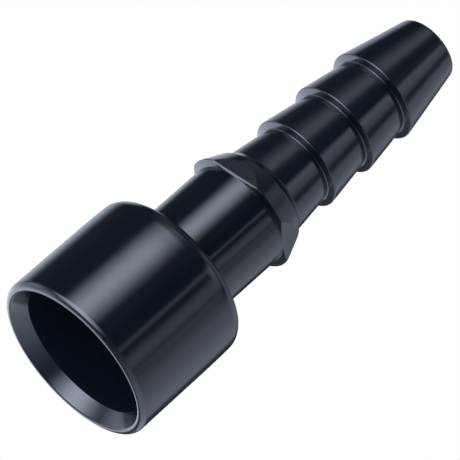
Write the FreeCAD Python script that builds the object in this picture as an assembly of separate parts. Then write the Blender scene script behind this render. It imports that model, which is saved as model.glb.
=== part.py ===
import FreeCAD, Part
import math
import os

# Hose barb fitting, moulded in one piece: a plain socket for a pipe at one end,
# a round neck, a collar with wrench flats, and a barbed tail for a soft hose.
# It stands on the mouth of its socket. The origin is the centre of that mouth,
# +Z runs along the axis to the tip of the tail, and X and Y cross the flats.
# All sizes are in millimetres.

# Pipe socket
pipe_diameter = 20.0
pipe_clearance = 0.1
socket_depth = 16.0
socket_wall = 2.35
socket_floor = 3.4
socket_draft = 0.4
lip_round = 0.9
lip_land = 0.2
lead_in_depth = 2.1
shoulder_round = 1.65

# Neck
neck_diameter = 15.6
neck_length = 12.2

# Collar with wrench flats
collar_diameter = 17.8
collar_front_diameter = 15.0
collar_cone_length = 3.5
collar_step_length = 0.95
collar_front_round = 1.2
flat_count = 4
flat_margin = 0.12

# Barbed tail
stem_diameter = 13.5
stem_length = 6.55
stem_root_round = 0.8
barb_count = 3
barb_pitch = 7.58
barb_root_diameter = 11.9
barb_height = 1.1
barb_root_bevel = 0.35
nose_length = 11.4
nose_wall = 1.0
nose_round = 0.7

# Way through
flow_bore_diameter = 7.5

# Radii worked out from the sizes above
socket_length = socket_depth + socket_floor
socket_bore_radius = pipe_diameter / 2 + pipe_clearance
socket_radius = socket_bore_radius + socket_wall
socket_rear_radius = socket_radius - socket_length * math.tan(math.radians(socket_draft))
lead_in_radius = socket_radius - lip_round - lip_land
neck_radius = neck_diameter / 2
collar_radius = collar_diameter / 2
collar_front_radius = collar_front_diameter / 2
flat_distance = neck_radius + flat_margin
stem_radius = stem_diameter / 2
barb_root_radius = barb_root_diameter / 2
barb_radius = barb_root_radius + barb_height
flow_bore_radius = flow_bore_diameter / 2
nose_radius = flow_bore_radius + nose_wall

# Heights above the mouth
collar_base = socket_length + neck_length
collar_front = collar_base + collar_cone_length
stem_base = collar_front + collar_step_length
first_barb = stem_base + stem_length
last_barb = first_barb + (barb_count - 1) * barb_pitch
overall_length = last_barb + nose_length

axis_foot = FreeCAD.Vector(0, 0, 0)
axis_direction = FreeCAD.Vector(0, 0, 1)


def corner_arc(before, here, after, radius):
    # The arc of this radius that touches both straight sides of a corner.
    to_before = (before - here).normalize()
    to_after = (after - here).normalize()
    half_angle = to_before.getAngle(to_after) / 2
    setback = radius / math.tan(half_angle)
    bisector = (to_before + to_after).normalize()
    centre = here + bisector * (radius / math.sin(half_angle))
    start = here + to_before * setback
    end = here + to_after * setback
    return Part.Arc(start, centre - bisector * radius, end)


def turned_solid(corners):
    # Each corner is its radius from the axis, its height and its rounding.
    # The closed outline is turned a full circle about the axis.
    points = [FreeCAD.Vector(radius, 0, height) for radius, height, rounding in corners]
    pieces = []
    for index, corner in enumerate(corners):
        rounding = corner[2]
        here = points[index]
        if rounding > 0:
            after = points[(index + 1) % len(points)]
            arc = corner_arc(points[index - 1], here, after, rounding)
            pieces.append((arc.StartPoint, arc, arc.EndPoint))
        else:
            pieces.append((here, None, here))
    edges = []
    for index, piece in enumerate(pieces):
        previous_end = pieces[index - 1][2]
        edges.append(Part.makeLine(previous_end, piece[0]))
        if piece[1] is not None:
            edges.append(piece[1].toShape())
    face = Part.Face(Part.Wire(edges))
    return face.revolve(axis_foot, axis_direction, 360)


def socket_corners():
    # From the lead-in at the mouth, over the lip and shoulder, to the neck.
    return [
        (lead_in_radius, 0, 0),
        (socket_radius, 0, lip_round),
        (socket_rear_radius, socket_length, shoulder_round),
        (neck_radius, socket_length, 0),
    ]


def collar_corners():
    # Square rear face, cone, and a short step down to the stem.
    return [
        (neck_radius, collar_base, 0),
        (collar_radius, collar_base, 0),
        (collar_front_radius, collar_front, collar_front_round),
        (stem_radius, stem_base, stem_root_round),
    ]


def tail_corners():
    # Barbs with square rear faces and long cones, then the tapered nose.
    corners = []
    for barb in range(barb_count):
        height = first_barb + barb * barb_pitch
        corners.append((barb_root_radius, height - barb_root_bevel, 0))
        corners.append((barb_root_radius + barb_root_bevel, height, 0))
        corners.append((barb_radius, height, 0))
    corners.append((nose_radius, overall_length, nose_round))
    return corners


def bore_corners():
    # Down the way through to the pipe stop, then out to the socket's lead-in.
    return [
        (flow_bore_radius, overall_length, 0),
        (flow_bore_radius, socket_depth, 0),
        (socket_bore_radius, socket_depth, 0),
        (socket_bore_radius, lead_in_depth, 0),
    ]


def flat_cutter():
    # Takes the collar down to one flat, from its rear face to the stem.
    reach = collar_radius
    slab_foot = FreeCAD.Vector(flat_distance, -reach, collar_base - flat_margin)
    slab_height = stem_base - collar_base + flat_margin
    return Part.makeBox(reach, 2 * reach, slab_height, slab_foot)


def fitting_body():
    body = turned_solid(socket_corners() + collar_corners() + tail_corners() + bore_corners())
    for flat in range(flat_count):
        cutter = flat_cutter()
        cutter.rotate(axis_foot, axis_direction, flat * 360 / flat_count)
        body = body.cut(cutter)
    return body.removeSplitter()


os.makedirs("parts", exist_ok=True)
body = fitting_body()
solid = body.Solids[0]
print("solids", len(body.Solids), "valid", body.isValid(), "volume", round(solid.Volume, 2))
print("overall length", round(overall_length, 2), "largest radius", round(socket_radius, 2))
solid.exportStep("parts/fitting_body.step")
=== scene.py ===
import math

import bpy
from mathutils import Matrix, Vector


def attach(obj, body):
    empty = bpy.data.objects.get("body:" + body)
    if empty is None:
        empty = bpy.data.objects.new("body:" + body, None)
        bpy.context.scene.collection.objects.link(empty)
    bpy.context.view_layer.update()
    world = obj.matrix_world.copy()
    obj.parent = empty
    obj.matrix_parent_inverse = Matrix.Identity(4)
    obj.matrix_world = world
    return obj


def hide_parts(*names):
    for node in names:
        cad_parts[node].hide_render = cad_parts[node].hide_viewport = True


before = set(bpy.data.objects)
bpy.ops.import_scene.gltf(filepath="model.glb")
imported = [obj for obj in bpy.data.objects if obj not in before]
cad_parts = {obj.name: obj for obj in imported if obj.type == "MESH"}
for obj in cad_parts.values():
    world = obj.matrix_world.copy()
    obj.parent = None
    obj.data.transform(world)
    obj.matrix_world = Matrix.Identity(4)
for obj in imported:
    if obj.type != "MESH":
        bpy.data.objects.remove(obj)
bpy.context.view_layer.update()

mm = 0.001


class Wire:
    # A node's output that takes part in sums, so shader maths reads as plain expressions.
    def __init__(self, tree, node, output=0):
        self.tree = tree
        self.node = node
        self.socket = node.outputs[output]

    def other(self, output):
        return Wire(self.tree, self.node, output)

    def __add__(self, value):
        return addMath(self.tree, "ADD", self, value)

    def __radd__(self, value):
        return addMath(self.tree, "ADD", value, self)

    def __sub__(self, value):
        return addMath(self.tree, "SUBTRACT", self, value)

    def __rsub__(self, value):
        return addMath(self.tree, "SUBTRACT", value, self)

    def __mul__(self, value):
        return addMath(self.tree, "MULTIPLY", self, value)

    def __rmul__(self, value):
        return addMath(self.tree, "MULTIPLY", value, self)

    def __truediv__(self, value):
        return addMath(self.tree, "DIVIDE", self, value)

    def __rtruediv__(self, value):
        return addMath(self.tree, "DIVIDE", value, self)

    def __mod__(self, value):
        return addMath(self.tree, "MODULO", self, value)

    def __rmod__(self, value):
        return addMath(self.tree, "MODULO", value, self)


def addNode(tree, kind, settings=None, values=None):
    # Settings come first, then each socket gets its value or its link.
    node = tree.nodes.new(kind)
    for name, setting in (settings or {}).items():
        if name == "stops":
            setStops(node.color_ramp, setting)
        else:
            setattr(node, name, setting)
    for name, value in (values or {}).items():
        if isinstance(value, Wire):
            tree.links.new(value.socket, node.inputs[name])
        else:
            node.inputs[name].default_value = value
    if len(node.outputs) == 0:
        return node
    return Wire(tree, node)


def setStops(ramp, stops):
    # The ramp starts with two elements: one goes, and the other takes the first stop.
    ramp.elements.remove(ramp.elements[1])
    for number, (position, brightness) in enumerate(stops):
        element = ramp.elements[0] if number == 0 else ramp.elements.new(position)
        element.position = position
        element.color = (brightness, brightness, brightness, 1.0)


def addMath(tree, operation, first, second=0.0):
    return addNode(tree, "ShaderNodeMath", {"operation": operation}, {0: first, 1: second})


def smoothStep(tree, value, low, high, below, above):
    return addNode(tree, "ShaderNodeMapRange", {"interpolation_type": "SMOOTHSTEP"}, {
        0: value, 1: low, 2: high, 3: below, 4: above,
    })


def mixColours(tree, share, first, second):
    # The sockets of a Mix node that mixes colours: factor, A and B in, the colour out.
    return addNode(tree, "ShaderNodeMix", {"data_type": "RGBA"}, {0: share, 6: first, 7: second}).other(2)


def vectorLength(tree, vector):
    return addNode(tree, "ShaderNodeVectorMath", {"operation": "LENGTH"}, {0: vector}).other("Value")


def dotProduct(tree, first, second):
    return addNode(tree, "ShaderNodeVectorMath", {"operation": "DOT_PRODUCT"}, {
        0: first, 1: second,
    }).other("Value")


def noise(tree, place, scale, detail):
    return addNode(tree, "ShaderNodeTexNoise", {}, {"Vector": place, "Scale": scale, "Detail": detail})


# The black plastic of the moulding, with its lengths in metres

blackPlastic = {
    "colour": (0.0024, 0.0054, 0.0102, 1.0),
    "paler": (0.0036, 0.0070, 0.0126, 1.0),
    "roughness": 0.13,
    "roughnessChange": 0.06,
    "refraction": 1.54,
    "clouding": 140.0,              # cloudy tone, turns per metre
    "cloudingDetail": 4.0,
    "waviness": 260.0,              # slow waves of the moulded skin
    "wavinessDetail": 2.0,
    "wavinessDepth": 0.000012,
    "grain": 5200.0,                # fine polish
    "grainDetail": 2.0,
    "grainDepth": 0.0000001,
    "insideRadius": 0.0113,         # the socket's inside reaches out to here
    "insideRim": 0.0002,            # and fades in over this width
    "insideHeight": 0.017,          # it reaches up to here
    "insideFade": 0.001,            # and fades out over this height
    # paler tone that paints light into the socket's inside
    "paintedInsideLight": (0.0060, 0.0125, 0.0215, 1.0),
    "insideRoughness": 0.08,        # how much more matt it is
}


def makeBlackPlastic():
    look = blackPlastic
    material = bpy.data.materials.new("blackPlastic")
    material.use_nodes = True
    tree = material.node_tree
    tree.nodes.clear()
    place = addNode(tree, "ShaderNodeTexCoord").other("Object")
    clouds = noise(tree, place, look["clouding"], look["cloudingDetail"])
    waves = noise(tree, place, look["waviness"], look["wavinessDetail"])
    grain = noise(tree, place, look["grain"], look["grainDetail"])

    # The socket's inside is near the axis, and no higher than just past its floor; it gets painted light
    # and a more matt finish
    split = addNode(tree, "ShaderNodeSeparateXYZ", {}, {0: place})
    flat = addNode(tree, "ShaderNodeCombineXYZ", {}, {0: split, 1: split.other("Y")})
    radius = look["insideRadius"]
    near = smoothStep(tree, vectorLength(tree, flat), radius - look["insideRim"], radius, 1.0, 0.0)
    height = look["insideHeight"]
    under = smoothStep(tree, split.other("Z"), height, height + look["insideFade"], 1.0, 0.0)
    inside = near * under

    outside = mixColours(tree, clouds, look["colour"], look["paler"])
    # Painted light: the socket's inside is paler than the plastic, to brighten the bore
    colour = mixColours(tree, inside, outside, look["paintedInsideLight"])
    roughness = look["roughness"] + (clouds + grain - 1.0) * look["roughnessChange"]
    roughness = roughness + inside * look["insideRoughness"]
    relief = waves * look["wavinessDepth"] + grain * look["grainDepth"]
    skin = addNode(tree, "ShaderNodeBump", {}, {"Height": relief, "Distance": 1.0, "Strength": 1.0})
    surface = addNode(tree, "ShaderNodeBsdfPrincipled", {}, {
        "Base Color": colour, "Roughness": roughness, "Normal": skin, "IOR": look["refraction"],
    })
    addNode(tree, "ShaderNodeOutputMaterial", {}, {"Surface": surface})
    return material


# The fitting: one outline turned about the axis, then the wrench flats.
# Lengths are in millimetres, with heights above the socket's mouth, and angles are in degrees.

fitting = {
    "socketRadius": 12.45,
    "socketRearRadius": 12.168,
    "socketLength": 19.4,
    "swellRadius": 12.345,          # where the socket's wall starts to curve towards the shoulder
    "swellHeight": 15.0,
    "swellRound": 120.0,
    "socketBoreRadius": 10.1,
    "socketDepth": 16.0,
    "leadInRadius": 11.35,
    "leadInDepth": 2.1,
    "mouthEdgeRound": 0.32,
    "lipRound": 0.8,
    "shoulderRound": 1.95,
    "neckRadius": 7.8,
    "collarBase": 31.6,
    "collarRootRound": 0.04,
    "collarRadius": 8.9,
    "collarFront": 35.1,
    "collarFrontRadius": 7.5,
    "collarFrontRound": 1.2,
    "stemBase": 36.05,
    "stemRadius": 6.75,
    "stemRootRound": 0.8,
    "firstBarb": 42.6,
    "barbCount": 3,
    "barbPitch": 7.58,
    "barbRadius": 7.05,
    "barbRootRadius": 5.95,
    "barbRootBevel": 0.1,
    "barbRootRound": 0.07,
    "barbEdgeRound": 0.16,
    "rearLean": 0.23,               # how far a rear face leans towards the tip
    "noseRadius": 4.75,
    "noseRound": 0.7,
    "flowBoreRadius": 3.75,
    "length": 69.16,
    "edgeRound": 0.12,              # other edges that would be sharp
    "cornerRound": 0.35,            # the root of the neck and the rim of the socket's floor
    "flatCount": 4,
    "flatDistance": 7.92,           # from the axis
    "flatWidth": 12.0,              # of the cut, past the collar on both sides
    "flatEdge": 0.3,                # width of the bevel along a flat's rear edge
    "flatEdgeTilt": 20.0,
    "stepsRound": 240,
    "stepsPerCorner": 8,
    "weldDistance": 0.001,
    "sharpAngle": 16.0,             # a larger step between two faces stays an edge
}


def fittingOutline():
    # Each corner is its radius, its height and its rounding.
    size = fitting
    edge = size["edgeRound"]
    inner = size["cornerRound"]
    lean = size["rearLean"]
    bevel = size["barbRootBevel"]
    corners = [
        (size["leadInRadius"], 0.0, size["mouthEdgeRound"]),
        (size["socketRadius"], 0.0, size["lipRound"]),
        (size["swellRadius"], size["swellHeight"], size["swellRound"]),
        (size["socketRearRadius"], size["socketLength"], size["shoulderRound"]),
        (size["neckRadius"], size["socketLength"], inner),
        (size["neckRadius"], size["collarBase"], size["collarRootRound"]),
        (size["collarRadius"], size["collarBase"] + lean, edge),
        (size["collarFrontRadius"], size["collarFront"], size["collarFrontRound"]),
        (size["stemRadius"], size["stemBase"], size["stemRootRound"]),
    ]
    for barb in range(size["barbCount"]):
        height = size["firstBarb"] + barb * size["barbPitch"] - lean / 2
        corners.append((size["barbRootRadius"], height - bevel, size["barbRootRound"]))
        corners.append((size["barbRootRadius"] + bevel, height, size["barbRootRound"]))
        corners.append((size["barbRadius"], height + lean, size["barbEdgeRound"]))
    corners += [
        (size["noseRadius"], size["length"], size["noseRound"]),
        (size["flowBoreRadius"], size["length"], edge),
        (size["flowBoreRadius"], size["socketDepth"], edge),
        (size["socketBoreRadius"], size["socketDepth"], inner),
        (size["socketBoreRadius"], size["leadInDepth"], edge),
    ]
    return corners


def outlineCurve():
    # The corners lie in the XZ plane, and each point's radius holds its rounding.
    curve = bpy.data.curves.new("fittingOutline", "CURVE")
    curve.dimensions = "3D"
    corners = fittingOutline()
    spline = curve.splines.new("POLY")
    spline.points.add(len(corners) - 1)
    for point, (radius, height, rounding) in zip(spline.points, corners):
        point.co = (radius * mm, 0.0, height * mm, 1.0)
        point.radius = rounding * mm
    spline.use_cyclic_u = True
    outline = bpy.data.objects.new("fittingOutline", curve)
    bpy.context.scene.collection.objects.link(outline)
    return outline


bodyInputs = {
    "Outline": "NodeSocketGeometry",
    "Steps Round": "NodeSocketInt",
    "Steps Per Corner": "NodeSocketInt",
    "Weld Distance": "NodeSocketFloat",
    "Flat Count": "NodeSocketInt",
    "Flat Distance": "NodeSocketFloat",
    "Flat Base": "NodeSocketFloat",
    "Flat Length": "NodeSocketFloat",
    "Flat Width": "NodeSocketFloat",
    "Flat Edge": "NodeSocketFloat",
    "Plastic": "NodeSocketMaterial",
}


def turnedBodyTree():
    # Rounds the outline's corners, turns it about the axis and cuts the flats.
    tree = bpy.data.node_groups.new("turnedBody", "GeometryNodeTree")
    for name, kind in bodyInputs.items():
        tree.interface.new_socket(name, in_out="INPUT", socket_type=kind)
    tree.interface.new_socket("Body", in_out="OUTPUT", socket_type="NodeSocketGeometry")
    given = addNode(tree, "NodeGroupInput")

    # Rounded corners
    rounding = addNode(tree, "GeometryNodeInputRadius")
    rounded = addNode(tree, "GeometryNodeFilletCurve", {"mode": "POLY"}, {
        "Curve": given.other("Outline"), "Count": given.other("Steps Per Corner"), "Radius": rounding,
    })

    # A sheet with one row for each point of the outline, wrapped round the axis
    size = addNode(tree, "GeometryNodeAttributeDomainSize", {"component": "CURVE"}, {"Geometry": rounded})
    rows = size.other("Point Count")
    columns = given.other("Steps Round")
    rowsAndSeam = rows + 1
    sheet = addNode(tree, "GeometryNodeMeshGrid", {}, {
        "Size X": 1.0, "Size Y": 1.0, "Vertices X": columns + 1, "Vertices Y": rowsAndSeam,
    })
    index = addNode(tree, "GeometryNodeInputIndex")
    column = addMath(tree, "FLOOR", index / rowsAndSeam)
    around = column % columns
    along = index % rowsAndSeam % rows
    place = addNode(tree, "GeometryNodeInputPosition")
    corner = addNode(tree, "GeometryNodeSampleIndex", {"data_type": "FLOAT_VECTOR"}, {
        "Geometry": rounded, "Value": place, "Index": along,
    })
    turned = addNode(tree, "ShaderNodeVectorRotate", {"rotation_type": "Z_AXIS"}, {
        "Vector": corner, "Angle": around * math.tau / columns,
    })
    wrapped = addNode(tree, "GeometryNodeSetPosition", {}, {"Geometry": sheet, "Position": turned})
    closed = addNode(tree, "GeometryNodeMergeByDistance", {}, {
        "Geometry": wrapped, "Distance": given.other("Weld Distance"),
    })

    # One block for each flat, and a tilted bar that breaks the flat's rear edge
    width = given.other("Flat Width")
    length = given.other("Flat Length")
    base = given.other("Flat Base")
    edge = given.other("Flat Edge")
    blockSize = addNode(tree, "ShaderNodeCombineXYZ", {}, {0: length, 1: width, 2: length})
    block = addNode(tree, "GeometryNodeMeshCube", {}, {"Size": blockSize})
    blockPlace = addNode(tree, "ShaderNodeCombineXYZ", {}, {
        0: length * 0.5, 2: base + length * 0.5 - edge,
    })
    flatBlock = addNode(tree, "GeometryNodeTransform", {}, {"Geometry": block, "Translation": blockPlace})
    tilt = math.radians(fitting["flatEdgeTilt"])
    barSize = addNode(tree, "ShaderNodeCombineXYZ", {}, {0: edge, 1: width, 2: edge * (2 / math.cos(tilt))})
    bar = addNode(tree, "GeometryNodeMeshCube", {}, {"Size": barSize})
    barPlace = addNode(tree, "ShaderNodeCombineXYZ", {}, {
        0: edge * (math.cos(tilt) / 2), 2: base + edge * (1 - math.sin(tilt) / 2),
    })
    tiltedBar = addNode(tree, "GeometryNodeTransform", {}, {
        "Geometry": bar, "Translation": barPlace, "Rotation": (0.0, tilt, 0.0),
    })
    count = given.other("Flat Count")
    ring = addNode(tree, "GeometryNodeMeshCircle", {}, {
        "Vertices": count, "Radius": given.other("Flat Distance"),
    })
    facing = addNode(tree, "ShaderNodeCombineXYZ", {}, {2: index * math.tau / count})
    flats = addNode(tree, "GeometryNodeInstanceOnPoints", {}, {
        "Points": ring, "Instance": flatBlock, "Rotation": facing,
    })
    bevels = addNode(tree, "GeometryNodeInstanceOnPoints", {}, {
        "Points": ring, "Instance": tiltedBar, "Rotation": facing,
    })
    cut = addNode(tree, "GeometryNodeMeshBoolean", {"operation": "DIFFERENCE", "solver": "EXACT"}, {
        "Mesh 1": closed, "Mesh 2": flats,
    })
    tree.links.new(bevels.socket, cut.node.inputs["Mesh 2"])

    plain = addNode(tree, "GeometryNodeRealizeInstances", {}, {"Geometry": cut})
    finished = addNode(tree, "GeometryNodeSetMaterial", {}, {
        "Geometry": plain, "Material": given.other("Plastic"),
    })
    addNode(tree, "NodeGroupOutput", {}, {"Body": finished})
    return tree


def setInputs(modifier, values):
    for socket in modifier.node_group.interface.items_tree:
        if socket.item_type == "SOCKET" and socket.in_out == "INPUT" and socket.name in values:
            modifier[socket.identifier] = values[socket.name]


def makeFitting(material):
    size = fitting
    outline = outlineCurve()
    modifier = outline.modifiers.new("turnedBody", "NODES")
    modifier.node_group = turnedBodyTree()
    setInputs(modifier, {
        "Steps Round": size["stepsRound"],
        "Steps Per Corner": size["stepsPerCorner"],
        "Weld Distance": size["weldDistance"] * mm,
        "Flat Count": size["flatCount"],
        "Flat Distance": size["flatDistance"] * mm,
        "Flat Base": size["collarBase"] * mm,
        "Flat Length": (size["stemBase"] - size["collarBase"]) * mm,
        "Flat Width": size["flatWidth"] * mm,
        "Flat Edge": size["flatEdge"] * mm,
        "Plastic": material,
    })
    graph = bpy.context.evaluated_depsgraph_get()
    mesh = bpy.data.meshes.new_from_object(outline.evaluated_get(graph), depsgraph=graph)
    outline.modifiers.remove(modifier)
    bpy.data.objects.remove(outline)
    mesh.name = "fittingBody"
    mesh.materials.clear()
    mesh.materials.append(material)
    mesh.shade_smooth()
    mesh.set_sharp_from_angle(angle=math.radians(size["sharpAngle"]))
    piece = bpy.data.objects.new("fittingBody", mesh)
    bpy.context.scene.collection.objects.link(piece)
    shading = piece.modifiers.new("shading", "WEIGHTED_NORMAL")     # keeps the long faces true
    shading.keep_sharp = True
    return piece


print("plastic")
plastic = makeBlackPlastic()
print("fitting")
body = makeFitting(plastic)
print("faces", len(body.data.polygons))
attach(body, "root")
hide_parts("fitting_body")


# The view: a long lens that looks up into the mouth of the socket

view = {
    "distance": 625.0,              # from the middle of the mouth, in millimetres
    "enlargement": 7.745,           # pixels for each millimetre at that distance
    "mouthPixel": (73.1, 361.2),
    "imageSize": 460,
    "roll": 0.7251,                 # how the axis climbs across the picture, in radians
    "lean": 0.4343,                 # how far the tail points away, in radians
    "turn": -32.9,                  # where the flats stand, in degrees
    "filmWidth": 36.0,
    "nearest": 0.01,                # what the camera can see, in metres
    "farthest": 20.0,
}


def viewDirections():
    # Right, down and forward of the picture, in the fitting's own axes.
    roll = view["roll"]
    lean = view["lean"]
    turn = math.radians(view["turn"])
    axis = Vector((math.cos(roll) * math.cos(lean), -math.sin(roll) * math.cos(lean), math.sin(lean)))
    across = Vector((math.sin(roll), math.cos(roll), 0.0))
    third = axis.cross(across)
    sideX = math.cos(turn) * across + math.sin(turn) * third
    sideY = math.cos(turn + math.pi / 2) * across + math.sin(turn + math.pi / 2) * third
    return [Vector((sideX[i], sideY[i], axis[i])) for i in range(3)]


def makeCamera():
    right, down, forward = viewDirections()
    enlargement = view["enlargement"]
    distance = view["distance"]
    camera = bpy.data.cameras.new("camera")
    camera.sensor_width = view["filmWidth"]
    camera.lens = enlargement * distance / view["imageSize"] * view["filmWidth"]
    camera.clip_start = view["nearest"]
    camera.clip_end = view["farthest"]
    middle = view["imageSize"] / 2
    sideways = (view["mouthPixel"][0] - middle) / enlargement
    below = (view["mouthPixel"][1] - middle) / enlargement
    place = -(sideways * right + below * down + distance * forward) * mm
    holder = bpy.data.objects.new("camera", camera)
    bpy.context.scene.collection.objects.link(holder)
    turned = holder.matrix_world.copy()
    for column, direction in enumerate((right, -down, -forward, place)):
        for row in range(3):
            turned[row][column] = direction[row]
    holder.matrix_world = turned
    bpy.context.scene.camera = holder


# The studio. A turn of -90 degrees about the fitting's axis is towards the camera, 0 is below in the
# picture, 90 is behind and 180 is above. A rise of 1 is along the axis, and -1 is under the mouth.

studio = {
    "lowBand": [                    # turn and brightness, where the rise is below 0
        (-180, 0.40), (-170, 0.20), (-90, 0.08), (-75, 0.10), (-55, 0.35), (-34, 0.70), (-20, 1.10),
        (5, 1.40), (25, 1.40), (48, 1.30), (65, 1.20), (71, 0.30), (78, 0.15), (84, 0.15), (88, 1.60),
        (94, 2.40), (112, 2.40), (126, 1.60), (140, 1.20), (150, 1.50), (158, 1.70), (170, 1.10),
        (180, 0.40),
    ],
    "middleBand": [                 # about 0.4
        (-180, 0.05), (-92, 0.07), (-80, 0.01), (-66, 0.01), (-64, 0.80), (-62, 0.80), (-60, 0.02),
        (-54, 0.04), (-49, 0.50), (-41, 0.80), (-36, 0.60), (-32, 0.30), (-27, 0.60), (-22, 0.45),
        (-4, 0.88), (22, 0.88), (37, 0.75), (50, 0.52), (60, 0.06), (92, 0.03), (104, 0.85),
        (118, 0.88), (124, 0.80), (132, 0.40), (141, 0.06), (180, 0.05),
    ],
    "highBand": [                   # about 0.65
        (-180, 0.06), (-166, 0.10), (-148, 0.50), (-132, 1.00), (-122, 0.95), (-110, 0.25),
        (-98, 0.08), (-70, 0.03), (-63, 0.90), (-57, 1.25), (-50, 1.05), (-36, 0.72), (-27, 0.17),
        (-17, 0.18), (-6, 0.80), (22, 0.82), (40, 0.75), (52, 0.40), (62, 0.22), (90, 0.18),
        (102, 0.92), (126, 0.92), (138, 0.70), (146, 0.20), (152, 0.08), (180, 0.06),
    ],
    "crownBand": [                  # 0.85 and above
        (-180, 0.30), (-150, 0.20), (-110, 0.12), (-90, 0.10), (-76, 0.45), (-50, 0.45), (-30, 0.30),
        (-10, 0.55), (30, 0.55), (50, 0.25), (70, 0.08), (90, 0.05), (130, 0.04), (160, 0.15),
        (180, 0.30),
    ],
    "lowToMiddle": (-0.15, 0.40),           # the rises between which a band gives way to the next
    "middleToHigh": (0.46, 0.60),
    "highToCrown": (0.74, 0.85),
    "underside": (-0.92, -0.72),            # the rises between which the low band goes dark
    "undersideShare": 0.3,                  # and what is left of it
    "behindTurn": (80.0, 95.0),             # the turns past which the high band is short
    "behindRise": (0.62, 0.74),             # the rises between which it ends there
    "behindLoss": 0.9,                      # and how much of it goes
    "upperSoftbox": {
        "strength": 4.9,
        "turn": -130.5,
        "halfWidth": 31.0,
        "foot": (-0.30, 0.10),              # the rises between which it fades in
        "head": (0.41, 0.56),               # and out again
    },
    "lowerSoftbox": {
        "strength": 7.2,
        "turn": -133.0,
        "halfWidth": 50.0,
        "foot": (-0.97, -0.72),
        "head": (-0.20, 0.15),
    },
    "plainLight": 0.75,                     # what falls on everything
    "softboxShare": 0.12,                   # what the softboxes add to it
    "white": (1.0, 1.0, 1.0, 1.0),
    "coolWhite": (0.87, 0.98, 1.17, 1.0),   # the tone of the reflections
    "floorHalfWidth": 0.6,                  # in metres
    "floorFade": (0.2, 0.95),               # the shares of it between which the floor fades away
    "floorColour": (0.86, 0.87, 0.88, 1.0),
}


def bandRamp(tree, turn, band):
    stops = [((degrees + 180) / 360, brightness) for degrees, brightness in band]
    return addNode(tree, "ShaderNodeValToRGB", {"stops": stops}, {0: (turn + 180) / 360})


def softbox(tree, turn, rise, lamp):
    # Brightest in the middle of its width, like a lamp behind a cloth.
    aside = addMath(tree, "ABSOLUTE", turn - lamp["turn"])
    across = smoothStep(tree, aside, 0.0, lamp["halfWidth"], 1.0, 0.0)
    foot = smoothStep(tree, rise, *lamp["foot"], 0.0, 1.0)
    head = smoothStep(tree, rise, *lamp["head"], 1.0, 0.0)
    return across * foot * head * lamp["strength"]


def studioBands(tree, turn, rise):
    # Four bands round the axis, one above the other, each fading into the next.
    under = smoothStep(tree, rise, *studio["underside"], studio["undersideShare"], 1.0)
    low = bandRamp(tree, turn, studio["lowBand"]) * under
    middle = bandRamp(tree, turn, studio["middleBand"])
    behind = smoothStep(tree, turn, *studio["behindTurn"], 0.0, studio["behindLoss"])
    ending = smoothStep(tree, rise, *studio["behindRise"], 0.0, 1.0)
    high = bandRamp(tree, turn, studio["highBand"]) * (1 - behind * ending)
    crown = bandRamp(tree, turn, studio["crownBand"])
    lowShare = smoothStep(tree, rise, *studio["lowToMiddle"], 1.0, 0.0)
    highShare = smoothStep(tree, rise, *studio["middleToHigh"], 0.0, 1.0)
    crownShare = smoothStep(tree, rise, *studio["highToCrown"], 0.0, 1.0)
    lower = low * lowShare + middle * (1 - lowShare - highShare)
    return lower + high * (highShare - crownShare) + crown * crownShare


def makeWorld():
    world = bpy.data.worlds.new("studio")
    world.use_nodes = True
    tree = world.node_tree
    tree.nodes.clear()
    bpy.context.scene.world = world
    look = addNode(tree, "ShaderNodeTexCoord").other("Generated")
    start = math.radians(view["turn"])
    ahead = dotProduct(tree, look, (math.cos(start), -math.sin(start), 0.0))
    beside = dotProduct(tree, look, (math.sin(start), math.cos(start), 0.0))
    turn = addMath(tree, "ARCTAN2", beside, ahead) * (180 / math.pi)
    rise = addNode(tree, "ShaderNodeSeparateXYZ", {}, {0: look}).other("Z")
    bands = studioBands(tree, turn, rise)
    upper = softbox(tree, turn, rise, studio["upperSoftbox"])
    lower = softbox(tree, turn, rise, studio["lowerSoftbox"])
    lamps = upper + lower

    # Reflections show the studio, plain soft light falls on everything, and the camera sees white
    path = addNode(tree, "ShaderNodeLightPath")
    seen = path.other("Is Camera Ray")
    mirrored = path.other("Is Glossy Ray")
    falling = studio["plainLight"] + lamps * studio["softboxShare"]
    strength = (bands + lamps) * mirrored + falling * (1 - mirrored - seen) + seen
    colour = mixColours(tree, mirrored, studio["white"], studio["coolWhite"])
    sky = addNode(tree, "ShaderNodeBackground", {}, {"Color": colour, "Strength": strength})
    addNode(tree, "ShaderNodeOutputWorld", {}, {"Surface": sky})


def makeFloor():
    # Seen only from above, and fading into the white background.
    half = studio["floorHalfWidth"]
    start, end = studio["floorFade"]
    corners = [(-half, -half, 0), (half, -half, 0), (half, half, 0), (-half, half, 0)]
    mesh = bpy.data.meshes.new("floor")
    mesh.from_pydata(corners, [], [(0, 1, 2, 3)])
    floor = bpy.data.objects.new("floor", mesh)
    bpy.context.scene.collection.objects.link(floor)
    material = bpy.data.materials.new("floor")
    material.use_nodes = True
    tree = material.node_tree
    tree.nodes.clear()
    place = addNode(tree, "ShaderNodeTexCoord").other("Object")
    near = smoothStep(tree, vectorLength(tree, place), half * start, half * end, 1.0, 0.0)
    seen = addNode(tree, "ShaderNodeLightPath").other("Is Camera Ray")
    behind = addNode(tree, "ShaderNodeNewGeometry").other("Backfacing")
    matt = addNode(tree, "ShaderNodeBsdfDiffuse", {}, {"Color": studio["floorColour"]})
    clear = addNode(tree, "ShaderNodeBsdfTransparent")
    shown = addNode(tree, "ShaderNodeMixShader", {}, {0: near * seen * (1 - behind), 1: clear, 2: matt})
    addNode(tree, "ShaderNodeOutputMaterial", {}, {"Surface": shown})
    mesh.materials.append(material)


print("studio")
makeCamera()
makeWorld()
makeFloor()

bpy.context.scene.view_settings.view_transform = "Standard"
